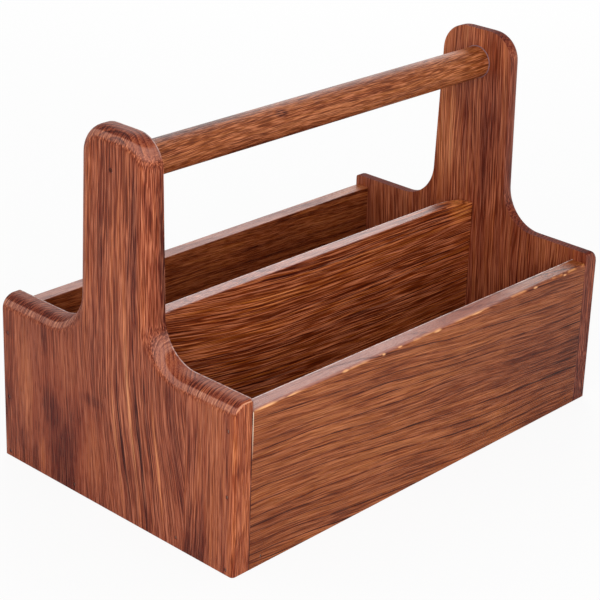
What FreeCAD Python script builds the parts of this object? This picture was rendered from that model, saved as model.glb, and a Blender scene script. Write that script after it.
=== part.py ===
import FreeCAD, Part
import math
import os

# Open carrying caddy for bottles and jars, in solid hardwood: two end panels with raised necks, two side boards,
# a higher divider on the centre line, a bottom inside the four walls and a round handle between the necks.
# Millimetres. X runs along the handle, Y from front to back, Z up. The origin is on the floor under the middle.

# Overall
length = 300.0              # over both end panels, along the handle
depth = 181.0               # over both side boards, across the handle
neck_height = 213.0         # floor to the top of the necks

# End panels
panel_thickness = 12.0
shoulder_height = 96.4
neck_foot_width = 56.0      # where the neck's straight sides would meet the shoulders
neck_top_width = 50.0       # where they would meet the top
neck_corner_radius = 17.0
shoulder_fillet = 23.0      # sweep from shoulder to neck, within the panel's face
round_over = 8.0            # along the outer upper edge, from front to back
least_flat = 3.0            # of the panel's thickness that the round-over always leaves
panel_arris = 2.0           # sanded corner of the front and back edges

# Side boards, between the end panels
wall_thickness = 10.0
wall_height = 90.0
wall_outer_arris = 1.8      # sanded top corner, outside
wall_inner_arris = 0.5      # and inside

# Bottom, inside the four walls
bottom_thickness = 8.0

# Divider, housed in the end panels and standing on the bottom
divider_thickness = 8.5
divider_height = 107.0
divider_arris = 0.7
ease_run = 30.0             # its top falls away over this length at each end
ease_drop = 3.3
housing_depth = 3.0

# Handle, let into blind sockets in the necks
handle_diameter = 19.0
handle_drop = 20.4          # its centre below the top of the necks
handle_chamfer = 0.8
socket_depth = 4.0

joint_clearance = 0.1       # round the divider in its housings and the handle in its sockets

# Brads of flat wire, with a T head and a chisel point
brad_head_width = 1.8
brad_head_height = 1.0
brad_width = 1.25
brad_thickness = 1.0
brad_point = 1.6
brad_set = 0.3              # how far the head is punched below the surface
brad_clearance = 0.02       # between a brad and the wood round it
wall_brad_length = 28.0
handle_brad_length = 38.0
handle_brad_set = 0.8

# Where the brads are driven
front_brad_drops = (9.0, 45.6)      # below the front board's top, in its end joints
back_brad_drops = (14.6, 53.4)      # below the back board's top
low_brad_height = 3.0               # the lowest brad of each of those columns
bottom_brads = ((31.0, 0.0), (-49.0, 1.8))      # place in Y, rise above the bottom board's middle
side_brad_inset = 8.1               # of the side boards' own brads from those boards' ends
side_brad_rise = 0.9                # above the bottom board's middle

# Places that follow from the sizes above
inner_half_length = length / 2 - panel_thickness
wall_middle = depth / 2 - wall_thickness / 2
inner_half_depth = depth / 2 - wall_thickness
handle_centre_height = neck_height - handle_drop
Vector = FreeCAD.Vector
up = Vector(0, 0, 1)
outward_left = Vector(-1, 0, 0)
outward_front = Vector(0, -1, 0)


def rounded_face(corners, to_space):
    """Flat face through (across, up, radius) corners, each turned by an arc of its own radius."""
    arcs = []
    for index, (across, up, radius) in enumerate(corners):
        corner = to_space(across, up)
        before = (to_space(*corners[index - 1][:2]) - corner).normalize()
        after = (to_space(*corners[(index + 1) % len(corners)][:2]) - corner).normalize()
        half_angle = before.getAngle(after) / 2
        run = radius / math.tan(half_angle)
        bisector = (before + after).normalize()
        middle = corner + bisector * (radius / math.sin(half_angle) - radius)
        arcs.append((corner + before * run, middle, corner + after * run))
    edges = []
    for index, (start, middle, end) in enumerate(arcs):
        if start.distanceToPoint(end) > 0:
            edges.append(Part.Arc(start, middle, end).toShape())
        edges.append(Part.LineSegment(end, arcs[(index + 1) % len(arcs)][0]).toShape())
    return Part.Face(Part.Wire(edges))


def brad(brad_length, clearance=0.0, hole_depth=0.0):
    """Brad along Z with its head's top at the origin, or the hole for it, open hole_depth above the head."""
    head = brad_head_width / 2 + clearance
    shank = brad_width / 2 + clearance
    under_head = -brad_head_height - clearance
    tip = -brad_length - clearance
    thickness = brad_thickness + 2 * clearance
    right_side = [(head, hole_depth), (head, under_head), (shank, under_head), (shank, tip + brad_point)]
    left_side = [(-across, height) for across, height in reversed(right_side)]
    corners = [Vector(across, -thickness / 2, height) for across, height in right_side + [(0, tip)] + left_side]
    return Part.Face(Part.makePolygon(corners + corners[:1])).extrude(Vector(0, thickness, 0))


def driven(shape, surface_place, outward, set_depth):
    """The brad or hole driven in at surface_place against outward, its head upright and set below the surface."""
    placed = shape.copy()
    turn = FreeCAD.Rotation(up, outward.cross(up), outward, "ZXY")
    placed.Placement = FreeCAD.Placement(surface_place - outward * set_depth, turn)
    return placed


def mirrored(shape, normal):
    return shape.mirror(Vector(0, 0, 0), normal)


def both_ways(shapes, normal):
    return shapes + [mirrored(shape, normal) for shape in shapes]


def save(name, solids):
    shape = solids[0] if len(solids) == 1 else Part.makeCompound(solids)
    shape.exportStep(f"parts/{name}.step")
    print(name, len(solids), "solid(s)", round(sum(solid.Volume for solid in solids), 1), "mm3")


# Brads. Those of the left end and of the front are placed, and the others mirror them.
wall_brad = brad(wall_brad_length)
wall_brad_hole = brad(wall_brad_length, brad_clearance, 2 * brad_set)

left_places = [Vector(-length / 2, -wall_middle, low_brad_height), Vector(-length / 2, wall_middle, low_brad_height)]
for drop in front_brad_drops:
    left_places.append(Vector(-length / 2, -wall_middle, wall_height - drop))
for drop in back_brad_drops:
    left_places.append(Vector(-length / 2, wall_middle, wall_height - drop))
for across, rise in bottom_brads:
    left_places.append(Vector(-length / 2, across, bottom_thickness / 2 + rise))
left_brads = [driven(wall_brad, place, outward_left, brad_set) for place in left_places]
left_holes = [driven(wall_brad_hole, place, outward_left, brad_set) for place in left_places]

side_brad_x = inner_half_length - side_brad_inset
side_brad_z = bottom_thickness / 2 + side_brad_rise
front_places = [Vector(x, -depth / 2, side_brad_z) for x in (-side_brad_x, side_brad_x)]
front_brads = [driven(wall_brad, place, outward_front, brad_set) for place in front_places]
front_holes = [driven(wall_brad_hole, place, outward_front, brad_set) for place in front_places]

handle_brad_place = Vector(-length / 2, 0, handle_centre_height)
handle_brad_hole = brad(handle_brad_length, brad_clearance, 2 * handle_brad_set)
left_handle_brad = driven(brad(handle_brad_length), handle_brad_place, outward_left, handle_brad_set)
left_handle_hole = driven(handle_brad_hole, handle_brad_place, outward_left, handle_brad_set)

end_holes = both_ways(left_holes, outward_left)
side_holes = both_ways(front_holes, outward_front)
handle_holes = both_ways([left_handle_hole], outward_left)

save("brads_left_end", left_brads)
save("brads_right_end", [mirrored(solid, outward_left) for solid in left_brads])
save("brads_front", front_brads)
save("brads_back", [mirrored(solid, outward_front) for solid in front_brads])
save("brads_handle", both_ways([left_handle_brad], outward_left))


# Divider: a long board whose top falls away in an arc towards each end, and whose ends sit in the end panels.
def divider_blank(end, grow=0.0):
    """Board out to +-end in X, thicker by grow all round but underneath."""
    radius = (ease_run ** 2 + ease_drop ** 2) / (2 * ease_drop)
    turn = math.asin(ease_run / radius)
    flat_half = inner_half_length - ease_run
    top = divider_height + grow
    low = top - ease_drop
    y = -divider_thickness / 2 - grow

    def point(x, z):
        return Vector(x, y, z)

    def ease(side):
        middle_x = flat_half + radius * math.sin(turn / 2)
        middle_z = top - radius + radius * math.cos(turn / 2)
        return Part.Arc(point(side * flat_half, top), point(side * middle_x, middle_z),
                        point(side * inner_half_length, low)).toShape()

    edges = [
        Part.LineSegment(point(-end, bottom_thickness), point(-end, low)).toShape(),
        Part.LineSegment(point(-end, low), point(-inner_half_length, low)).toShape(),
        ease(-1),
        Part.LineSegment(point(-flat_half, top), point(flat_half, top)).toShape(),
        ease(1),
        Part.LineSegment(point(inner_half_length, low), point(end, low)).toShape(),
        Part.LineSegment(point(end, low), point(end, bottom_thickness)).toShape(),
        Part.LineSegment(point(end, bottom_thickness), point(-end, bottom_thickness)).toShape(),
    ]
    return Part.Face(Part.Wire(edges)).extrude(Vector(0, divider_thickness + 2 * grow, 0))


def divider_top_edges(board):
    """The long edges of the divider's top, between the end panels."""
    found = []
    for edge in board.Edges:
        box = edge.BoundBox
        level = box.ZMin > divider_height - 2 * ease_drop
        inside = max(-box.XMin, box.XMax) < inner_half_length + joint_clearance
        if level and inside and box.YLength < joint_clearance:
            found.append(edge)
    return found


housed_half_length = inner_half_length + housing_depth
divider = divider_blank(housed_half_length)
divider = divider.makeFillet(divider_arris, divider_top_edges(divider))
save("divider", divider.Solids)


# Handle: a plain dowel whose ends are chamfered to start in their sockets.
def dowel(diameter, half_length):
    start = Vector(-half_length, 0, handle_centre_height)
    return Part.makeCylinder(diameter / 2, 2 * half_length, start, Vector(1, 0, 0))


handle_half_length = inner_half_length + socket_depth
handle_blank = dowel(handle_diameter, handle_half_length)
end_circles = [edge for edge in handle_blank.Edges if edge.Closed]
handle_bar = handle_blank.makeChamfer(handle_chamfer, end_circles).cut(handle_holes)
save("handle_bar", handle_bar.Solids)


# End panels: shoulders, sweeps into a tapered neck with round corners, and one broad round-over that follows the
# whole outer upper edge from the front to the back and runs out there, so that its quarter round shows.
def panel_profile(y, z):
    return Vector(-length / 2, y, z)


def outer_upper_edges(panel):
    """The edges of the panel's outer face from one shoulder's end over the neck to the other's."""
    found = []
    for edge in panel.Edges:
        box = edge.BoundBox
        if box.XMax < -length / 2 + least_flat and box.ZMin > shoulder_height - joint_clearance:
            found.append(edge)
    return found


def end_arris_edges(panel):
    """On the panel's front and back edges: up the outer corner, round the round-over's end and along the shoulder."""
    found = []
    for edge in panel.Edges:
        box = edge.BoundBox
        at_end = box.YLength < joint_clearance and max(-box.YMin, box.YMax) > depth / 2 - joint_clearance
        if at_end and box.ZMax > joint_clearance and box.XMin < -inner_half_length - joint_clearance:
            found.append(edge)
    return found


half_depth = depth / 2
half_foot = neck_foot_width / 2
half_top = neck_top_width / 2
panel_corners = [
    (-half_depth, 0, 0),
    (half_depth, 0, 0),
    (half_depth, shoulder_height, 0),
    (half_foot, shoulder_height, shoulder_fillet),
    (half_top, neck_height, neck_corner_radius),
    (-half_top, neck_height, neck_corner_radius),
    (-half_foot, shoulder_height, shoulder_fillet),
    (-half_depth, shoulder_height, 0),
]
panel = rounded_face(panel_corners, panel_profile).extrude(Vector(panel_thickness, 0, 0))
panel = panel.makeFillet(min(round_over, panel_thickness - least_flat), outer_upper_edges(panel))
panel = panel.makeFillet(panel_arris, end_arris_edges(panel))
handle_socket = dowel(handle_diameter + 2 * joint_clearance, handle_half_length + joint_clearance)
divider_housing = divider_blank(housed_half_length + joint_clearance, joint_clearance)
panel = panel.cut([handle_socket, divider_housing, left_handle_hole] + left_holes)
save("end_panel_left", panel.Solids)
save("end_panel_right", mirrored(panel, outward_left).Solids)


# Side boards: butted between the end panels and flush with their edges, top corners sanded.
def wall_profile(y, z):
    return Vector(-inner_half_length, y, z)


wall_corners = [
    (-half_depth, 0, 0),
    (-inner_half_depth, 0, 0),
    (-inner_half_depth, wall_height, wall_inner_arris),
    (-half_depth, wall_height, wall_outer_arris),
]
wall = rounded_face(wall_corners, wall_profile).extrude(Vector(2 * inner_half_length, 0, 0))
save("front_panel", wall.cut(end_holes + front_holes).Solids)
save("back_panel", mirrored(wall, outward_front).cut(end_holes + side_holes).Solids)


# Bottom: fills the space between the four walls and stands on the floor with them.
bottom_start = Vector(-inner_half_length, -inner_half_depth, 0)
bottom = Part.makeBox(2 * inner_half_length, 2 * inner_half_depth, bottom_thickness, bottom_start)
save("bottom_board", bottom.cut(end_holes + side_holes).Solids)
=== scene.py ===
import math

import bpy
from mathutils import Matrix, Vector


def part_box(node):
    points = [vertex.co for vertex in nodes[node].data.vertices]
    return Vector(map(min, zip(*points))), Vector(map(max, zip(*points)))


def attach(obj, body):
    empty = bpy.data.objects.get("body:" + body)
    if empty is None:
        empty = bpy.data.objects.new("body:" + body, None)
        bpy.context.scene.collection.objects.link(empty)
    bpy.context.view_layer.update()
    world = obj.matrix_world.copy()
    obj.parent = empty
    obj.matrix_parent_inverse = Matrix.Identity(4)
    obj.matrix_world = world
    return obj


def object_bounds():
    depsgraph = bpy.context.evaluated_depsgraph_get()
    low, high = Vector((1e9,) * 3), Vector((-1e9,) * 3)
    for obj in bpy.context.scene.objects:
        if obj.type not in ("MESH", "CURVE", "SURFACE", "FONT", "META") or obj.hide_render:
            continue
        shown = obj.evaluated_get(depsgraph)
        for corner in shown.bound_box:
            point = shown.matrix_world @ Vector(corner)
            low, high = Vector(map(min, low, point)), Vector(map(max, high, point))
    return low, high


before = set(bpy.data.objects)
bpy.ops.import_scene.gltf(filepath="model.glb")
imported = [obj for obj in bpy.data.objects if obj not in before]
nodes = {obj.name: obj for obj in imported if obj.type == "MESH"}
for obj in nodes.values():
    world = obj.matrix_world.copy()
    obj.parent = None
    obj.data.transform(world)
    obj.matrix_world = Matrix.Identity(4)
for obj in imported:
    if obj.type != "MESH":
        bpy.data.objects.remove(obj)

cad_low, cad_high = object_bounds()

# Camera. A long lens looks down on the caddy from the front left corner, so that one end panel, the front
# board and the far neck show together. The lens is shifted a little, so the uprights stay nearly parallel.
camera_place = Vector((-0.72917, -0.66548, 0.51299))
camera_azimuth = math.radians(-47.4999)
camera_elevation = math.radians(21.9557)
camera_roll = math.radians(2.1319)
sensor_width = 36.0
picture_side = 600
focal_pixels = 1895.5
lens_shift = (-0.01667, -0.1)
looking = Vector((
    -math.sin(camera_azimuth) * math.cos(camera_elevation),
    math.cos(camera_azimuth) * math.cos(camera_elevation),
    -math.sin(camera_elevation),
))
level_right = looking.cross(Vector((0, 0, 1))).normalized()
level_up = level_right.cross(looking)
camera_right = level_right * math.cos(camera_roll) + level_up * math.sin(camera_roll)
camera_up = level_up * math.cos(camera_roll) - level_right * math.sin(camera_roll)

bpy.ops.object.select_all(action="DESELECT")
bpy.ops.object.camera_add(location=camera_place)
camera = bpy.context.object
camera.rotation_mode = "QUATERNION"
camera.rotation_quaternion = Matrix((camera_right, camera_up, -looking)).transposed().to_quaternion()
camera.data.sensor_width = sensor_width
camera.data.lens = focal_pixels / picture_side * sensor_width
camera.data.shift_x, camera.data.shift_y = lens_shift
bpy.context.scene.camera = camera


# Studio. A wide matt floor in a white surround, lit by three large soft lamps: one behind, which the tops of
# the boards mirror, one at the left and one at the front.
def srgb(hex_colour):
    """A colour as people write it, turned to the linear values that a shader takes."""
    linear = []
    for start in (1, 3, 5):
        level = int(hex_colour[start:start + 2], 16) / 255
        linear.append(level / 12.92 if level <= 0.04045 else ((level + 0.055) / 1.055) ** 2.4)
    return (*linear, 1.0)


def add(tree, kind, links=None, **settings):
    """One node with its settings. links gives an input either a value or another node's output."""
    node = tree.nodes.new(kind)
    for name, value in settings.items():
        setattr(node, name, value)
    for name, value in (links or {}).items():
        socket = node.inputs[name]
        if isinstance(value, bpy.types.Node):
            value = value.outputs[0]
        if isinstance(value, bpy.types.NodeSocket):
            tree.links.new(value, socket)
        else:
            socket.default_value = value
    return node


bpy.context.scene.view_settings.view_transform = "Standard"

# White surround: it lights the wood softly, and is plain white where the camera, a gloss or a glass sees it
surround_light = 0.55
surround = bpy.data.worlds.new("white_surround")
bpy.context.scene.world = surround
surround.use_nodes = True
tree = surround.node_tree
tree.nodes.clear()
rays = add(tree, "ShaderNodeLightPath").outputs
seen = add(tree, "ShaderNodeMath", {0: rays["Is Camera Ray"], 1: rays["Is Glossy Ray"]}, operation="ADD")
seen = add(tree, "ShaderNodeMath", {0: seen, 1: rays["Is Transmission Ray"]}, operation="ADD", use_clamp=True)
strength = add(tree, "ShaderNodeMapRange", {"Value": seen, "To Min": surround_light, "To Max": 1.0})
background = add(tree, "ShaderNodeBackground", {"Color": srgb("#FFFFFF"), "Strength": strength})
add(tree, "ShaderNodeOutputWorld", {"Surface": background})

floor_side = 8.0
floor_drop = 0.0002
bpy.ops.object.select_all(action="DESELECT")
bpy.ops.mesh.primitive_plane_add(size=floor_side, location=(0, 0, cad_low.z - floor_drop))
floor = bpy.context.object
floor.name = "studio_floor"

# Matt white paint: no gloss. The camera sees most of it as pure white, and the rest holds the caddy's shadow
shown_white = 0.9
floor_paint = bpy.data.materials.new("matt_white_floor")
floor_paint.use_nodes = True
tree = floor_paint.node_tree
tree.nodes.clear()
matt = add(tree, "ShaderNodeBsdfDiffuse", {"Color": srgb("#F4F4F4")})
white = add(tree, "ShaderNodeEmission", {"Color": srgb("#FFFFFF"), "Strength": 1.0})
rays = add(tree, "ShaderNodeLightPath").outputs
share = add(tree, "ShaderNodeMath", {0: rays["Is Camera Ray"], 1: shown_white}, operation="MULTIPLY")
both = add(tree, "ShaderNodeMixShader", {0: share, 1: matt, 2: white})
add(tree, "ShaderNodeOutputMaterial", {"Surface": both})
floor.data.materials.append(floor_paint)


def soft_lamp(name, place, target, size, power):
    """A square area lamp that faces target."""
    bpy.ops.object.select_all(action="DESELECT")
    bpy.ops.object.light_add(type="AREA", location=place)
    lamp = bpy.context.object
    lamp.name = name
    lamp.data.size = size
    lamp.data.energy = power
    lamp.rotation_mode = "QUATERNION"
    lamp.rotation_quaternion = (Vector(target) - Vector(place)).to_track_quat("-Z", "Y")


middle_of_caddy = (0, 0, 0.1)
near_corner = (-0.15, -0.09, 0.05)
soft_lamp("lamp_behind", (1.25, 1.1, 0.95), middle_of_caddy, 1.2, 12.2)
soft_lamp("lamp_left", (-0.95, -0.45, 0.55), near_corner, 0.6, 3.3)
soft_lamp("lamp_front", (-0.4, -0.85, 0.55), near_corner, 0.6, 3.3)

# End panels. Each is edge-glued from straight staves of oak, shaped with a template, rounded over with a
# cutter and oiled. The grain stands upright, so the neck is strong, and the shoulders and the neck's top show
# end grain. The long boards are let into their inner faces, glued and nailed.
millimetre = 0.001

# How an upper edge changes as its rounding turns from the face to the end, in steps of facing: the change of
# tone, how strongly short strokes show, and how pale it is. Pale strokes come first, then a dark comb. The
# paleness is painted highlight in the strokes and painted sheen on the flat end.
pale_zones = (
    (0.30, 0.0, 0.0, 0.0),
    (0.42, 0.06, 1.0, 0.2),
    (0.66, 0.06, 1.0, 0.28),
    (0.73, -0.2, 1.0, 0.0),
    (0.88, -0.22, 0.9, 0.0),
    (0.95, -0.14, 0.6, 0.06),
    (1.0, -0.08, 0.5, 0.12),
)
end_stains = ("#46120A", "#662415", "#8F462E", "#B46742", "#D68F64")
# painted sheen on the tops
worn_stain = "#BC8880"
# painted highlight and sheen on rounded end grain
end_sheen_colour = "#C9A095"
# painted highlight on upper arrises
arris_highlight_colour = "#F6E2DC"
# raw wood of a lifted sliver, with its painted glint
raw_oak_glint = "#F0AE78"
dry_glue = "#EAD2B8"

# Oak, stained reddish brown, planed, rounded over and oiled. To the eye: long dark growth lines on the faces
# and rings on the ends, dark dashes of open pores, hairs of light and dark fibre, and a dull silky gloss that
# is duller on end grain. Lengths are in millimetres. Tones run from 0, the darkest stain, to 1, the lightest.
# This is the plain board, and each board below names what is its own.
plain_board = {
    "stains": end_stains,    # from the darkest to the lightest
    "lean": 0.0,             # slope of the grain across the face
    "lean_from": 0.0,        # where along the board the slope is centred
    "lean_reach": 200.0,     # how far from there it goes on
    "fan": 0.0,              # how the slope grows across the board
    "stave_edge": None,      # where across the board a second stave is glued on
    "other_stave": 0.0,      # how far across the tree that stave came from
    "wander": 2.0,           # how far the grain strays sideways
    "pith": (400.0, -60.0),  # the tree's middle, across and through the board
    "ring_width": 3.2,
    "ring_shape": ((0.14, 0.1), (0.3, 0.95), (0.65, 0.7), (1.0, 0.35)),
    "ring_tone": 0.16,       # how strongly the rings show on faces
    "end_ring": 0.2,         # and on end grain
    "base_tone": 0.52,
    "line_gap": 5.0,         # long dark lines where the grain crowds: their spacing and tone
    "line_tone": 0.25,
    "hair": (9, 0.5, 0.22),  # length, width and tone of each kind of mark, from fine to coarse
    "fibre": (36, 0.7, 0.15),
    "streak": (150, 1.8, 0.07),
    "band": (220, 8, 0.06),
    "cloud": (50, 24, 0.06),
    "pore_tone": 0.12,
    "zones": pale_zones,
    "shades": (),            # spindles of another tone, in the grain's own places: middle, half size, change
    "calm": (),              # spindles where the marks are fainter, or stronger if the amount is negative
    "smooth": (),            # spindles where the cut grain's strokes and comb fade: middle, half size and change of tone
    "warmth": (),            # spindles that are more orange
    "edges": (),             # straight edges: axes and places, reach, change of tone, length of strokes or 0
    "pale_edges": (),        # painted highlights on upper arrises: axes and places, reach, amount
    "slivers": (),           # raw wood where a sliver has lifted, with a painted glint: middle and half size
    "glue": (),              # dry glue on an upright edge: axes and places, reach, low end, high end
    "worn": None,            # painted sheen on the top: amount, where along the board it starts to fade and where it ends
    "coat": 0.0,             # wax on what faces up
}


def grain_noise(tree, place, along, across, detail, seed):
    """Noise stretched along the grain, in lengths of millimetres, spread to about -1 to 1."""
    steps = (1 / along, 1 / across, 1 / across)
    scaled = add(tree, "ShaderNodeVectorMath", {0: place, 1: steps}, operation="MULTIPLY")
    start = (seed, seed * 1.7, seed * 0.6)
    moved = add(tree, "ShaderNodeVectorMath", {0: scaled, 1: start}, operation="ADD")
    noise = add(tree, "ShaderNodeTexNoise", {
        "Vector": moved, "Scale": 1.0, "Detail": detail, "Roughness": 0.6})
    return add(tree, "ShaderNodeMapRange", {
        "Value": noise, "From Min": 0.28, "From Max": 0.72, "To Min": -1.0, "To Max": 1.0}, clamp=False)


def spindle(tree, place, middle, half, amount, ground=0.0):
    """A soft spindle: ground outside it and ground plus amount in its middle. middle and half are its place
    and its half size."""
    off = add(tree, "ShaderNodeVectorMath", {0: place, 1: middle}, operation="SUBTRACT")
    off = add(tree, "ShaderNodeVectorMath", {0: off, 1: half}, operation="DIVIDE")
    away = add(tree, "ShaderNodeVectorMath", {0: off}, operation="LENGTH").outputs["Value"]
    return add(tree, "ShaderNodeMapRange", {
        "Value": away, "From Min": 1.0, "From Max": 0.25, "To Min": ground, "To Max": ground + amount},
        interpolation_type="SMOOTHSTEP")


def edge_mask(tree, places, edge, reach):
    """1 on a straight edge, given by one or two axes and the place on each, and 0 at reach from it."""
    offs = [add(tree, "ShaderNodeMath", {0: places[axis], 1: place}, operation="SUBTRACT")
            for axis, place in edge]
    off = add(tree, "ShaderNodeCombineXYZ", dict(enumerate(offs)))
    away = add(tree, "ShaderNodeVectorMath", {0: off}, operation="LENGTH").outputs["Value"]
    return add(tree, "ShaderNodeMapRange", {"Value": away, "From Min": reach, "From Max": reach * 0.3},
               interpolation_type="SMOOTHSTEP")


def set_ramp(ramp_node, stops):
    """Give a colour ramp its stops, each a spot from 0 to 1 and a colour."""
    elements = ramp_node.color_ramp.elements
    while len(elements) < len(stops):
        elements.new(0.5)
    for index, (spot, colour) in enumerate(stops):
        elements[index].position = spot
        elements[index].color = colour


def bent_across(tree, wood, along, across, through):
    """How far across the straight tree a point of the board lay: the grain leans, fans and wanders, and a
    second stave comes from another part of the tree."""
    reach = wood["lean_reach"]
    from_start = add(tree, "ShaderNodeMath", {0: along, 1: wood["lean_from"]}, operation="SUBTRACT")
    from_start = add(tree, "ShaderNodeMath", {0: from_start, 1: 1 / reach}, operation="MULTIPLY")
    from_start = add(tree, "ShaderNodeMath", {0: from_start}, operation="TANH")
    from_start = add(tree, "ShaderNodeMath", {0: from_start, 1: reach}, operation="MULTIPLY")
    slope = add(tree, "ShaderNodeMath", {0: across, 1: wood["fan"], 2: -wood["lean"]},
                operation="MULTIPLY_ADD")
    straight = add(tree, "ShaderNodeMath", {0: from_start, 1: slope, 2: across}, operation="MULTIPLY_ADD")
    if wood["stave_edge"] is not None:
        main = add(tree, "ShaderNodeMath", {0: across, 1: wood["stave_edge"]}, operation="GREATER_THAN")
        other = add(tree, "ShaderNodeMath", {0: across, 1: wood["other_stave"]}, operation="ADD")
        straight = add(tree, "ShaderNodeMix", {0: main, 2: other, 3: straight})
    plain_place = add(tree, "ShaderNodeCombineXYZ", {0: along, 1: straight, 2: through})
    wide = grain_noise(tree, plain_place, 120, 34, 1, wood["seed"])
    small = grain_noise(tree, plain_place, 26, 6, 1, wood["seed"] + 3)
    bent = add(tree, "ShaderNodeMath", {0: wide, 1: wood["wander"], 2: straight}, operation="MULTIPLY_ADD")
    return add(tree, "ShaderNodeMath", {0: small, 1: 0.3, 2: bent}, operation="MULTIPLY_ADD")


def growth_rings(tree, wood, place, bent, through):
    """Rings round the pith: -1 in the dark porous start of each, rising to 0.5, and fainter in places."""
    ring_across = add(tree, "ShaderNodeMath", {0: bent, 1: wood["pith"][0]}, operation="SUBTRACT")
    ring_through = add(tree, "ShaderNodeMath", {0: through, 1: wood["pith"][1]}, operation="SUBTRACT")
    from_pith = add(tree, "ShaderNodeCombineXYZ", {0: ring_across, 1: ring_through})
    radius = add(tree, "ShaderNodeVectorMath", {0: from_pith}, operation="LENGTH").outputs["Value"]
    uneven = grain_noise(tree, place, 180, 16, 0, wood["seed"] + 5)
    count = add(tree, "ShaderNodeMath", {0: radius, 1: 1 / wood["ring_width"]}, operation="MULTIPLY")
    count = add(tree, "ShaderNodeMath", {0: uneven, 1: 0.3, 2: count}, operation="MULTIPLY_ADD")
    part_of_ring = add(tree, "ShaderNodeMath", {0: count}, operation="FRACT")
    profile = add(tree, "ShaderNodeValToRGB", {0: part_of_ring})
    ring_stops = ((0, 0), *wood["ring_shape"])
    set_ramp(profile, [(spot, (level, level, level, 1)) for spot, level in ring_stops])
    ring = add(tree, "ShaderNodeMapRange", {"Value": profile, "To Min": -1.0, "To Max": 0.5})
    fading = grain_noise(tree, place, 130, 9, 1, wood["seed"] + 7)
    fading = add(tree, "ShaderNodeMath", {0: fading, 1: 0.6, 2: 0.7}, operation="MULTIPLY_ADD")
    return add(tree, "ShaderNodeMath", {0: ring, 1: fading}, operation="MULTIPLY")


def face_marks(tree, wood, place):
    """The board's figure, which is dark lines, fibres, streaks, bands and clouds, and apart from it the fine
    hairs. Both fade in the calm parts of the board."""
    seed = wood["seed"]
    line = grain_noise(tree, place, 130, wood["line_gap"], 0, seed + 9)
    line = add(tree, "ShaderNodeMath", {0: line}, operation="ABSOLUTE")
    line = add(tree, "ShaderNodeMapRange", {"Value": line, "From Min": 0.2, "From Max": 0.02})
    broken = grain_noise(tree, place, 55, 7, 1, seed + 10)
    broken = add(tree, "ShaderNodeMapRange", {"Value": broken, "From Min": -0.4, "From Max": 0.6})
    line = add(tree, "ShaderNodeMath", {0: line, 1: broken}, operation="MULTIPLY")
    figure = add(tree, "ShaderNodeMath", {0: line, 1: -wood["line_tone"]}, operation="MULTIPLY")
    for index, kind in enumerate(("fibre", "streak", "band", "cloud")):
        length, width, amount = wood[kind]
        marks = grain_noise(tree, place, length, width, 1, seed + 15 + 4 * index)
        marks = add(tree, "ShaderNodeClamp", {"Value": marks, "Min": -0.8, "Max": 0.8})
        figure = add(tree, "ShaderNodeMath", {0: marks, 1: amount, 2: figure}, operation="MULTIPLY_ADD")
    length, width, amount = wood["hair"]
    hairs = grain_noise(tree, place, length, width, 1, seed + 11)
    hairs = add(tree, "ShaderNodeClamp", {"Value": hairs, "Min": -0.8, "Max": 0.8})
    hairs = add(tree, "ShaderNodeMath", {0: hairs, 1: amount}, operation="MULTIPLY")
    for middle, half, amount in wood["calm"]:
        quiet = spindle(tree, place, middle, half, -amount, 1.0)
        figure = add(tree, "ShaderNodeMath", {0: figure, 1: quiet}, operation="MULTIPLY")
        hairs = add(tree, "ShaderNodeMath", {0: hairs, 1: quiet}, operation="MULTIPLY")
    return figure, hairs


def open_pores(tree, wood, place, ring):
    """Pores: dark dashes, crowded at the start of each ring. They are twice as wide as real, to show."""
    pores = grain_noise(tree, place, 8, 0.55, 0, wood["seed"] + 31)
    crowd = add(tree, "ShaderNodeMath", {0: ring, 1: -0.3, 2: pores}, operation="MULTIPLY_ADD")
    return add(tree, "ShaderNodeMapRange", {"Value": crowd, "From Min": 0.3, "From Max": 0.7},
               interpolation_type="SMOOTHSTEP")


def cut_grain(tree, wood, place, facing_end):
    """Over a rounding the cutter first lifts short strokes of fibre, then opens a dark comb of pores, and the
    flat end above is smooth. Gives the change of tone and the paleness for how far a face turns to the end:
    the paleness is painted highlight in the strokes and painted sheen on the flat end. The ramp holds both,
    and between them how strongly the strokes show."""
    by_facing = add(tree, "ShaderNodeValToRGB", {0: facing_end})
    set_ramp(by_facing, [(spot, (change + 0.5, strokes, paleness, 1))
                         for spot, change, strokes, paleness in wood["zones"]])
    zone = add(tree, "ShaderNodeSeparateXYZ", {0: by_facing}).outputs
    change = add(tree, "ShaderNodeMath", {0: zone[0], 1: 0.5}, operation="SUBTRACT")
    ray_place = add(tree, "ShaderNodeVectorMath", {0: place, 1: (0.05, 1, 0.05)}, operation="MULTIPLY")
    strokes = grain_noise(tree, ray_place, 1, 0.6, 1, wood["seed"] + 37)
    strokes = add(tree, "ShaderNodeMath", {0: strokes, 1: zone[1]}, operation="MULTIPLY")
    for middle, half, _ in wood["smooth"]:
        left = spindle(tree, place, middle, half, -0.9, 1.0)
        change = add(tree, "ShaderNodeMath", {0: change, 1: left}, operation="MULTIPLY")
        strokes = add(tree, "ShaderNodeMath", {0: strokes, 1: left}, operation="MULTIPLY")
    for middle, half, amount in wood["smooth"]:
        sanded = spindle(tree, place, middle, half, amount)
        change = add(tree, "ShaderNodeMath", {0: change, 1: sanded}, operation="ADD")
    change = add(tree, "ShaderNodeMath", {0: strokes, 1: 0.36, 2: change}, operation="MULTIPLY_ADD")
    pale = add(tree, "ShaderNodeMath", {0: strokes, 1: 0.5, 2: 0.8}, operation="MULTIPLY_ADD")
    pale = add(tree, "ShaderNodeMath", {0: pale, 1: zone[2]}, operation="MULTIPLY", use_clamp=True)
    return change, pale


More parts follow.
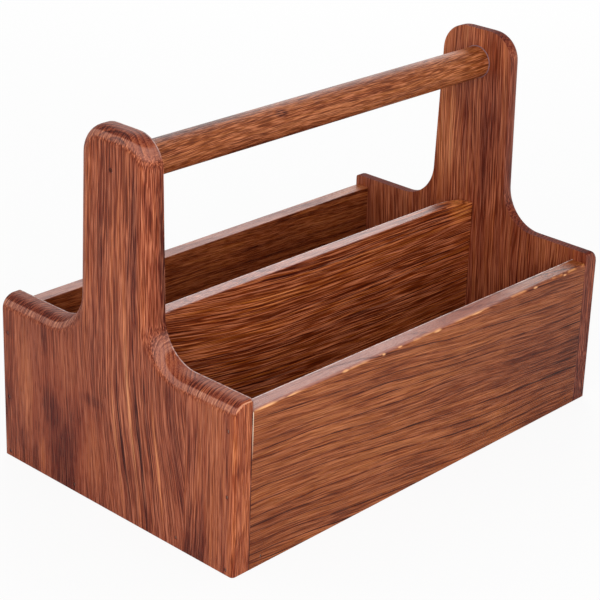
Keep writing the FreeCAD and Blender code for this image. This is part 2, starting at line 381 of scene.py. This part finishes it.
def marked_edges(tree, wood, places, in_mm, tone):
    """The tone along straight edges: a joint line gathers oil and dust, and a painted highlight lies in
    broken strokes along a lit arris."""
    for edge, reach, amount, length in wood["edges"]:
        near = edge_mask(tree, places, edge, reach)
        if length:
            strokes = grain_noise(tree, in_mm, length, length, 1, wood["seed"] + 41)
            strokes = add(tree, "ShaderNodeMapRange", {"Value": strokes, "From Min": 0.0, "From Max": 0.4})
            near = add(tree, "ShaderNodeMath", {0: near, 1: strokes}, operation="MULTIPLY")
        tone = add(tree, "ShaderNodeMath", {0: near, 1: amount, 2: tone}, operation="MULTIPLY_ADD")
    return tone


def stained(tree, wood, place, tone, fine):
    """The stain's colour. It turns from purple brown to orange along streaks, and fine hairs and pores shift
    it evenly: a dark hair is deep red and a light one is pinkish."""
    colour = add(tree, "ShaderNodeValToRGB", {0: tone})
    last = len(wood["stains"]) - 1
    set_ramp(colour, [(index / last, srgb(stain)) for index, stain in enumerate(wood["stains"])])
    turns = grain_noise(tree, place, 60, 2.2, 1, wood["seed"] + 53)
    warm = add(tree, "ShaderNodeMath", {0: turns, 1: 0.34, 2: 0.5}, operation="MULTIPLY_ADD")
    for middle, half, amount in wood["warmth"]:
        more = spindle(tree, place, middle, half, amount)
        warm = add(tree, "ShaderNodeMath", {0: warm, 1: more}, operation="ADD")
    purple_tint = (0.94, 1.0, 1.12, 1.0)
    orange_tint = (1.06, 1.0, 0.86, 1.0)
    tint = add(tree, "ShaderNodeMixRGB", {0: warm, 1: purple_tint, 2: orange_tint})
    colour = add(tree, "ShaderNodeMixRGB", {0: 1.0, 1: colour, 2: tint}, blend_type="MULTIPLY")
    deepest_share = (0.52, 0.42, 0.34)
    hair_shift = (0.59, 0.24, 0.13)
    deepest = add(tree, "ShaderNodeVectorMath", {0: colour, 1: deepest_share}, operation="MULTIPLY")
    colour = add(tree, "ShaderNodeVectorMath", {0: fine, 1: hair_shift, 2: colour}, operation="MULTIPLY_ADD")
    return add(tree, "ShaderNodeVectorMath", {0: colour, 1: deepest}, operation="MAXIMUM")


def sheen_and_arris_highlights(tree, wood, along, places, in_mm, facing_up, tone, colour):
    """Painted sheen on what faces up: a pale colour on a top, fading along the board and weaker on dark wood,
    and a painted highlight in dashes on its arris.
    """
    if wood["worn"]:
        amount, start, end = wood["worn"]
        top_sheen = add(tree, "ShaderNodeMapRange", {
            "Value": along, "From Min": start, "From Max": end, "To Min": amount, "To Max": 0.0},
            interpolation_type="SMOOTHSTEP")
        top_sheen = add(tree, "ShaderNodeMath", {0: top_sheen, 1: facing_up}, operation="MULTIPLY")
        sheen_by_tone = add(tree, "ShaderNodeMapRange", {
            "Value": tone, "From Min": 0.2, "From Max": 0.6, "To Min": 0.55})
        top_sheen = add(tree, "ShaderNodeMath", {0: top_sheen, 1: sheen_by_tone}, operation="MULTIPLY")
        colour = add(tree, "ShaderNodeMixRGB", {0: top_sheen, 1: colour, 2: srgb(worn_stain)})
    for edge, reach, amount in wood["pale_edges"]:
        near = edge_mask(tree, places, edge, reach)
        near = add(tree, "ShaderNodeMath", {0: near, 1: facing_up}, operation="MULTIPLY")
        dashes = grain_noise(tree, in_mm, 3, 3, 1, wood["seed"] + 43)
        dashes = add(tree, "ShaderNodeMapRange", {
            "Value": dashes, "From Min": -0.7, "From Max": 0.3, "To Min": amount * 0.25, "To Max": amount})
        near = add(tree, "ShaderNodeMath", {0: near, 1: dashes}, operation="MULTIPLY")
        colour = add(tree, "ShaderNodeMixRGB", {0: near, 1: colour, 2: srgb(arris_highlight_colour)})
    return colour


def slivers_and_glue(tree, wood, places, in_mm, colour):
    """Raw wood where a sliver has lifted off, with a painted glint where it catches the light, and glue that
    dried where it was squeezed out of a joint.
    """
    for middle, half in wood["slivers"]:
        raw = spindle(tree, in_mm, middle, half, 1.0)
        colour = add(tree, "ShaderNodeMixRGB", {0: raw, 1: colour, 2: srgb(raw_oak_glint)})
    for edge, reach, low_end, high_end in wood["glue"]:
        near = edge_mask(tree, places, edge, reach)
        within = add(tree, "ShaderNodeMapRange", {
            "Value": places["Z"], "From Min": low_end, "From Max": high_end})
        near = add(tree, "ShaderNodeMath", {0: near, 1: within}, operation="MULTIPLY")
        colour = add(tree, "ShaderNodeMixRGB", {0: near, 1: colour, 2: srgb(dry_glue)})
    return colour


def oiled_oak(name, axes, seed, **own):
    """Oiled oak as a solid: the same rings, pores and streaks run through face, edge and end grain. axes
    names the board's own directions: along the grain, across the face and through the thickness."""
    wood = {**plain_board, **own, "seed": seed}
    oak = bpy.data.materials.new(name)
    oak.use_nodes = True
    tree = oak.node_tree
    tree.nodes.clear()
    coords = add(tree, "ShaderNodeTexCoord").outputs
    in_mm = add(tree, "ShaderNodeVectorMath", {0: coords["Object"], "Scale": 1 / millimetre},
                operation="SCALE")
    places = add(tree, "ShaderNodeSeparateXYZ", {0: in_mm}).outputs
    along, across, through = (places[axis] for axis in axes)
    bent = bent_across(tree, wood, along, across, through)
    place = add(tree, "ShaderNodeCombineXYZ", {0: along, 1: bent, 2: through})

    # how far the surface turns to end grain: 0 on faces and edges, 1 on a cut straight across
    facings = add(tree, "ShaderNodeSeparateXYZ", {0: coords["Normal"]}).outputs
    facing_end = add(tree, "ShaderNodeMath", {0: facings[axes[0]]}, operation="ABSOLUTE")
    end_grain = add(tree, "ShaderNodeMapRange", {"Value": facing_end, "From Min": 0.3, "From Max": 0.6},
                    interpolation_type="SMOOTHSTEP")
    face_share = add(tree, "ShaderNodeMapRange", {"Value": end_grain, "To Min": 1.0, "To Max": 0.25})
    facing_up = add(tree, "ShaderNodeMapRange", {"Value": facings["Z"], "From Min": 0.3, "From Max": 0.9},
                    interpolation_type="SMOOTHSTEP")

    # tone: rings first, then the figure and the shades, some of them painted light and shade, the cut
    # round-over and the marked edges, some of them painted highlights
    ring = growth_rings(tree, wood, place, bent, through)
    ring_share = add(tree, "ShaderNodeMapRange", {
        "Value": end_grain, "To Min": wood["ring_tone"], "To Max": wood["end_ring"]})
    tone = add(tree, "ShaderNodeMath", {0: ring, 1: ring_share, 2: wood["base_tone"]},
               operation="MULTIPLY_ADD")
    figure, fine = face_marks(tree, wood, place)
    tone = add(tree, "ShaderNodeMath", {0: figure, 1: face_share, 2: tone}, operation="MULTIPLY_ADD")
    for middle, half, amount in wood["shades"]:
        shade = spindle(tree, place, middle, half, amount)
        tone = add(tree, "ShaderNodeMath", {0: tone, 1: shade}, operation="ADD")
    pore = open_pores(tree, wood, place, ring)
    fine = add(tree, "ShaderNodeMath", {0: pore, 1: -wood["pore_tone"], 2: fine}, operation="MULTIPLY_ADD")
    fine = add(tree, "ShaderNodeMath", {0: fine, 1: face_share}, operation="MULTIPLY")
    change, pale = cut_grain(tree, wood, place, facing_end)
    tone = add(tree, "ShaderNodeMath", {0: tone, 1: change}, operation="ADD")
    tone = marked_edges(tree, wood, places, in_mm, tone)

    colour = stained(tree, wood, place, tone, fine)
    # painted highlight and sheen where a rounding turns to end grain
    colour = add(tree, "ShaderNodeMixRGB", {0: pale, 1: colour, 2: srgb(end_sheen_colour)})
    # painted sheen on tops, and painted highlights on upper arrises
    colour = sheen_and_arris_highlights(tree, wood, along, places, in_mm, facing_up, tone, colour)
    colour = slivers_and_glue(tree, wood, places, in_mm, colour)

    # relief and gloss: open pores sink, light wood is smoother, end grain is duller, and tops may be waxed
    sunk = add(tree, "ShaderNodeMath", {0: pore, 1: face_share}, operation="MULTIPLY")
    height = add(tree, "ShaderNodeMath", {0: tone, 1: sunk}, operation="SUBTRACT")
    relief = 0.3 * millimetre
    bump = add(tree, "ShaderNodeBump", {"Height": height, "Strength": 0.4, "Distance": relief})
    gloss = add(tree, "ShaderNodeMapRange", {"Value": tone, "To Min": 0.5, "To Max": 0.36})
    gloss = add(tree, "ShaderNodeMath", {0: end_grain, 1: 0.3, 2: gloss}, operation="MULTIPLY_ADD")
    wax = 0.0
    if wood["coat"]:
        wax = add(tree, "ShaderNodeMath", {0: facing_up, 1: wood["coat"]}, operation="MULTIPLY")
    shader = add(tree, "ShaderNodeBsdfPrincipled", {
        "Base Color": colour, "Roughness": gloss, "Normal": bump, "IOR": 1.5, "Specular IOR Level": 0.16,
        "Coat Weight": wax, "Coat Roughness": 0.32})
    add(tree, "ShaderNodeOutputMaterial", {"Surface": shader})
    return oak


def finish_node(name, material):
    """The finish of a piece that keeps its own mesh."""
    nodes[name].data.materials.clear()
    nodes[name].data.materials.append(material)


panel_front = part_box("end_panel_left")[0].y / millimetre
panel_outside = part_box("end_panel_left")[0].x / millimetre
panel_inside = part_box("end_panel_left")[1].x / millimetre
handle_height = (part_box("handle_bar")[0].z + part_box("handle_bar")[1].z) / 2 / millimetre

# Left end panel, which shows its outer face. Its front stave is narrow, and comes from another part of the
# tree, so in the grain's own places it lies other_stave further across. Marks are given as height, place
# across, half height, half width and change of tone.
other_stave = -260.0
mark_depth = 30
left_end_marks = (
    # front stave: a light ground with a dark patch at its foot
    (50, other_stave - 71, 140, 18, 0.13),
    (0, other_stave - 64, 48, 12, -0.34),
    (24, other_stave - 62, 30, 3, 0.16),
    (70, other_stave - 83, 60, 6, 0.06),
    # middle of the panel: slanting dark and light lines below the neck
    (50, -50, 90, 6, -0.12),
    (50, -33, 60, 1.6, 0.32),
    (60, -28, 70, 1.5, -0.24),
    (50, -21.5, 80, 1.3, -0.46),
    (52, -17, 75, 2.0, 0.34),
    (40, -9.5, 66, 1.2, -0.38),
    (44, -5.5, 64, 1.5, 0.28),
    (75, 0, 40, 3, -0.1),
    # rear half: mottled, with dark patches
    (30, 16, 34, 14, 0.12),
    (10, 41, 48, 15, -0.28),
    (44, 51, 18, 11, -0.24),
    (38, 30, 24, 9, -0.1),
    (76, 30, 28, 20, 0.08),
    (60, 13, 5, 16, -0.12),
    (6, 64, 16, 5, -0.2),
    (12, 58, 16, 4, 0.16),
    (50, 71, 44, 9, 0.12),
    (86, 55, 24, 4, -0.2),
    (36, 86, 20, 4, -0.22),
    # neck: upright bands
    (150, 14.3, 80, 7, 0.12),
    (150, 1.2, 80, 6.5, -0.1),
    (150, -5.5, 60, 1.5, 0.14),
    (150, -14, 80, 5, 0.12),
    (150, -23, 80, 3.4, -0.26),
    (150, -28.5, 60, 1.3, 0.14),
    (150, -36.5, 60, 1.4, -0.2),
)
left_end_shades = [((height, across, panel_outside), (high, wide, mark_depth), change)
                   for height, across, high, wide, change in left_end_marks]
left_end_shades += [
    # the front edge face is lighter: painted light
    ((50, other_stave - 91, -144), (400, 6, 300), 0.1),
    ((150, -32.5, -146), (64, 3.6, 5), 0.04),
    ((150, -34, -139), (66, 5, 4), -0.34),
]
left_end_calm = (
    ((40, 45, -150), (80, 60, 60), 0.6),
    ((60, other_stave - 74, -150), (150, 22, 60), 0.3),
    ((165, 0, -150), (95, 60, 60), -0.3),
)
shoulder_fillet = ((105, -50, -146), (26, 20, 20), 0.1)
neck_corner = ((203, -24, -146), (18, 15, 20), 0.06)

# oil has gathered round each brad's head: the heads are found on the outer face, by cells that part them
cell = 3.0
heads = {}
for face in nodes["brads_left_end"].data.polygons:
    if face.normal.x < -0.99 and face.center.x < (panel_outside + 1) * millimetre:
        centre = (face.center.y / millimetre, face.center.z / millimetre)
        heads.setdefault((round(centre[0] / cell), round(centre[1] / cell)), []).append(centre)
dark_rings = []
for centres in heads.values():
    across = sum(centre[0] for centre in centres) / len(centres)
    height = sum(centre[1] for centre in centres) / len(centres)
    dark_rings.append(((("Y", across), ("Z", height)), 1.7, -0.12, 0))
# painted highlight in broken strokes down the outer upright corner
outer_corner_highlight = ((("X", panel_outside), ("Y", panel_front)), 2.2, 0.14, 30)
joint_line = ((("X", panel_inside), ("Y", panel_front)), 1.1, -0.45, 0)
handle_brad = ((("Y", 0), ("Z", handle_height)), 1.8, -0.4, 0)
# Its tops carry a painted highlight along their inner arris.
finish_node("end_panel_left", oiled_oak(
    "oiled_oak_left_end", ("Z", "Y", "X"), 2.0,
    lean=0.12, fan=0.002, lean_from=50.0, lean_reach=45.0, stave_edge=-55.0, other_stave=other_stave,
    pith=(-10.0, -188.0), ring_width=2.6, ring_tone=0.05, end_ring=0.34,
    base_tone=0.49, line_tone=0.14, hair=(22, 0.45, 0.5), fibre=(70, 0.6, 0.16), streak=(150, 1.8, 0.03),
    band=(220, 8, 0.04), cloud=(50, 24, 0.03), pore_tone=0.14,
    shades=left_end_shades, calm=left_end_calm, smooth=(shoulder_fillet, neck_corner),
    warmth=(((170, 0, -145), (90, 60, 40), 0.35), ((50, other_stave - 90, -144), (400, 6, 12), 0.8)),
    edges=[outer_corner_highlight, joint_line, handle_brad] + dark_rings,
    pale_edges=(((("X", panel_inside),), 1.0, 0.45),), coat=0.1))

# Right end panel, which shows its inner face. Its round-over is on the far side, so the upper edges seen from
# the near end are narrow and dark.
dark_zones = (
    (0.30, 0.0, 0.0, 0.0),
    (0.60, -0.16, 0.5, 0.0),
    (1.0, -0.34, 0.4, 0.0),
)
right_end_shades = (
    # painted shade low in the front corner, by the front board and the bottom
    ((20, -66, 140), (76, 38, 30), -0.38),
    ((160, -2, 138), (60, 3, 30), -0.2),
    ((150, -33, 143), (90, 4, 12), -0.24),
    ((208, 3, 138), (12, 5, 30), 0.2),
    ((112, -15, 138), (76, 4.5, 30), -0.18),
    ((140, 9, 138), (50, 3, 30), 0.18),
    # painted shade along the front edge face
    ((50, -93, 144), (400, 9, 60), -0.2),
    ((150, 16, 138), (90, 11, 30), 0.16),
    ((150, -18, 138), (90, 12, 30), -0.12),
)
finish_node("end_panel_right", oiled_oak(
    "oiled_oak_right_end", ("Z", "Y", "X"), 22.0,
    lean=0.05, pith=(60.0, 90.0), ring_width=2.2, ring_tone=0.06, zones=dark_zones,
    base_tone=0.58, line_tone=0.12, hair=(24, 0.5, 0.44), fibre=(90, 0.8, 0.16), streak=(170, 1.8, 0.08),
    shades=right_end_shades, warmth=(((150, 20, 140), (100, 16, 40), 0.3),)))

# Front side board. One plain oak board on edge, its ends let into the end panels, glued, and nailed to the
# bottom. Its top carries a painted sheen that fades towards the far end, slivers have lifted off the outer
# arris and show painted glints, painted highlights run along both upper arrises, and a line of glue dried
# where the board meets the near panel. Its far end is darker, partly its figure and partly painted shade.
board_stains = ("#361105", "#62270E", "#8D4926", "#B46B3C", "#D69158")
front_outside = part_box("front_panel")[0].y / millimetre
front_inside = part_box("front_panel")[1].y / millimetre
front_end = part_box("front_panel")[0].x / millimetre
board_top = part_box("front_panel")[1].z / millimetre
front_shades = (
    # the far end darker: partly the board's figure, partly painted shade
    ((115, 50, -90), (60, 60, 30), -0.14),
    ((-60, 48, -90), (110, 5, 30), 0.08),
    ((-113, 12, -90), (30, 7, 30), -0.12),
    ((34, 24, -90), (30, 7, 30), -0.12),
)
# each sliver: place along the board, depth below the top, and half length, width and height
sliver_marks = (
    (-128, 0.8, 10, 1.2, 0.8),
    (-110, 0.8, 6, 0.8, 0.5),
    (-70.6, 0.8, 3.4, 1.2, 0.9),
    (-41, 1.0, 1.8, 1.0, 0.8),
    (-28, 0.8, 2.2, 0.8, 0.6),
    (3, 1.2, 4.4, 1.1, 0.9),
    (37, 1.0, 7, 0.8, 0.6),
    (90, 1.2, 2.6, 1.1, 0.8),
    (118, 1.4, 2.2, 0.9, 0.8),
)
sliver_inset = 0.3
front_slivers = [((x, front_outside + sliver_inset, board_top - below), (long, wide, high))
                 for x, below, long, wide, high in sliver_marks]
finish_node("front_panel", oiled_oak(
    "oiled_oak_front", ("X", "Z", "Y"), 42.0,
    lean=-0.105, pith=(260.0, -20.0), ring_width=5.6, ring_tone=0.36,
    ring_shape=((0.05, 0.0), (0.12, 0.68), (0.5, 0.76), (0.95, 0.66), (1.0, 0.2)), stains=board_stains,
    line_tone=0.2, line_gap=7.0, hair=(22, 0.45, 0.28), fibre=(60, 0.65, 0.12), streak=(150, 1.8, 0.04),
    # painted sheen on the top, fading towards the far end
    shades=front_shades, coat=0.2, worn=(0.6, 40, 110), slivers=front_slivers,
    # painted highlight in broken strokes along the outer arris of the top
    edges=(((("Y", front_outside), ("Z", board_top)), 1.5, 0.6, 12),),
    # painted highlight along the inner arris of the top
    pale_edges=(((("Y", front_inside), ("Z", board_top)), 1.4, 0.8),),
    glue=(((("X", front_end), ("Y", front_outside)), 0.8, 62, 78),)))

# Back side board. Its twin, fixed in the same way, with the grain falling the other way and a painted sheen
# on its top over most of its length.
finish_node("back_panel", oiled_oak(
    "oiled_oak_back", ("X", "Z", "Y"), 62.0,
    lean=-0.05, pith=(-260.0, 20.0), ring_width=5.0, ring_tone=0.2, stains=board_stains,
    coat=0.1, worn=(0.45, 60, 150)))

# Divider. A thinner and higher oak board on the centre line, let into both end panels, with its top eased
# down at the ends. It was cut close to the tree's middle, so its rings are narrow and strongly coloured.
divider_stains = ("#380E04", "#65200A", "#95451C", "#C06A2E", "#DE9050")
divider_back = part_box("divider")[1].y / millimetre
divider_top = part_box("divider")[1].z / millimetre
# the top's eased far end is lighter where it catches the light: painted light
lit_eased_end = (("X", 128), ("Z", divider_top - 2))
finish_node("divider", oiled_oak(
    "oiled_oak_divider", ("X", "Z", "Y"), 82.0,
    lean=-0.2, lean_from=-130.0, lean_reach=90.0, wander=1.2, pith=(300.0, 30.0), ring_width=2.4,
    ring_tone=0.26, ring_shape=((0.12, 0.05), (0.3, 0.7), (0.6, 0.8), (0.85, 0.6), (1.0, 0.2)),
    stains=divider_stains, base_tone=0.51, line_tone=0.2, line_gap=3.0, hair=(26, 0.5, 0.8),
    # painted sheen on the top, fading towards the far end
    fibre=(90, 0.8, 0.2), streak=(150, 1.8, 0.1), cloud=(90, 14, 0.06), coat=0.3, worn=(0.5, 50, 110),
    edges=((lit_eased_end, 17, 0.34, 0),),
    # painted highlight along the back arris of the top
    pale_edges=(((("Y", divider_back), ("Z", divider_top)), 1.4, 0.8),)))

# Bottom board. One flat oak board between the four walls, let into the end panels and nailed through the
# front and back boards. It is only seen from above, between the walls.
finish_node("bottom_board", oiled_oak(
    "oiled_oak_bottom", ("X", "Y", "Z"), 102.0, pith=(20.0, -70.0), ring_width=6.0, stains=board_stains))

# Handle. A turned oak dowel, its ends set in blind sockets in the necks, glued, and held by one brad through
# each neck. It has short flecked grain, a small knot, and is darker along its top; the darker underside is
# painted shade.
handle_shades = (
    ((-36, handle_height + 6.4, -7), (6, 3, 6), -0.4),
    ((-36, handle_height + 6.4, -7), (2.4, 1.3, 3), 0.24),
    ((-95, handle_height + 9.7, 1), (70, 2.6, 7), -0.34),
    ((40, handle_height + 9.7, 1), (110, 1.8, 6), -0.18),
    # painted shade along the underside
    ((0, handle_height - 8.6, -5), (170, 3.6, 8), -0.3),
)
finish_node("handle_bar", oiled_oak(
    "oiled_oak_handle", ("X", "Z", "Y"), 122.0,
    pith=(260.0, 20.0), ring_width=3.5, ring_tone=0.06, stains=board_stains,
    base_tone=0.575, line_tone=0.18, hair=(11, 0.45, 0.58), fibre=(50, 0.8, 0.06), streak=(90, 1.7, 0.08),
    cloud=(60, 22, 0.03), pore_tone=0.14, shades=handle_shades,
    warmth=(((70, handle_height - 0.6, 0), (120, 40, 40), 0.1),)))

# Bead of dried oil round the handle, where it enters the far neck. It was never wiped off, so it fills the
# corner between the two, and has run a little thicker underneath.
bead_radius = 0.35
bead_gap = 0.1
bead_sunk = 0.05
bead_run = 1.3
handle_radius = (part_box("handle_bar")[1].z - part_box("handle_bar")[0].z) / 2
neck_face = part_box("end_panel_right")[0].x
bead_foot = neck_face + bead_sunk * millimetre
handle_middle = (neck_face, 0, handle_height * millimetre)
bpy.ops.object.select_all(action="DESELECT")
bpy.ops.mesh.primitive_torus_add(
    location=handle_middle, rotation=(0, math.pi / 2, 0), major_radius=handle_radius + bead_gap * millimetre,
    minor_radius=bead_radius * millimetre, major_segments=72, minor_segments=8)
bpy.ops.object.transform_apply(location=True, rotation=True, scale=True)
bead = bpy.context.object
bead.name = "handle_bead"


def widen_points(wanted, factor, foot):
    """Scale those points of the bead that wanted picks along the handle, away from foot."""
    bpy.ops.object.mode_set(mode="EDIT")
    bpy.ops.mesh.select_all(action="DESELECT")
    bpy.ops.object.mode_set(mode="OBJECT")
    for vertex in bead.data.vertices:
        vertex.select = wanted(vertex.co)
    bpy.ops.object.mode_set(mode="EDIT")
    bpy.ops.transform.resize(value=(factor, 1, 1), center_override=(foot, 0, 0))
    bpy.ops.object.mode_set(mode="OBJECT")


widen_points(lambda point: point.x > bead_foot, 0, bead_foot)
widen_points(lambda point: point.x < neck_face and point.z < handle_middle[2], bead_run, neck_face)
bpy.ops.object.shade_smooth()

# Dried oil: a thin greyish skin with a soft gloss; its pale lilac grey is partly painted highlight, so the
# bead shows as a pale line against the dark wood
dried = bpy.data.materials.new("dried_oil_bead_glint")
dried.use_nodes = True
shader = dried.node_tree.nodes["Principled BSDF"]
shader.inputs["Base Color"].default_value = srgb("#86646A")
shader.inputs["Roughness"].default_value = 0.45
bead.data.materials.append(dried)
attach(bead, "root")

# Brads. Thin steel wire nails with small heads, driven through the end panels into the long boards and the
# bottom, through the side boards into the bottom, and through the necks into the handle.
# Drawn steel wire: bare metal gone brownish with oil, so each head shows as a small dull glint.
steel = bpy.data.materials.new("drawn_steel_brads")
steel.use_nodes = True
shader = steel.node_tree.nodes["Principled BSDF"]
shader.inputs["Base Color"].default_value = srgb("#9A8378")
shader.inputs["Metallic"].default_value = 1.0
shader.inputs["Roughness"].default_value = 0.35
for brads in ("brads_left_end", "brads_right_end", "brads_front", "brads_back", "brads_handle"):
    finish_node(brads, steel)
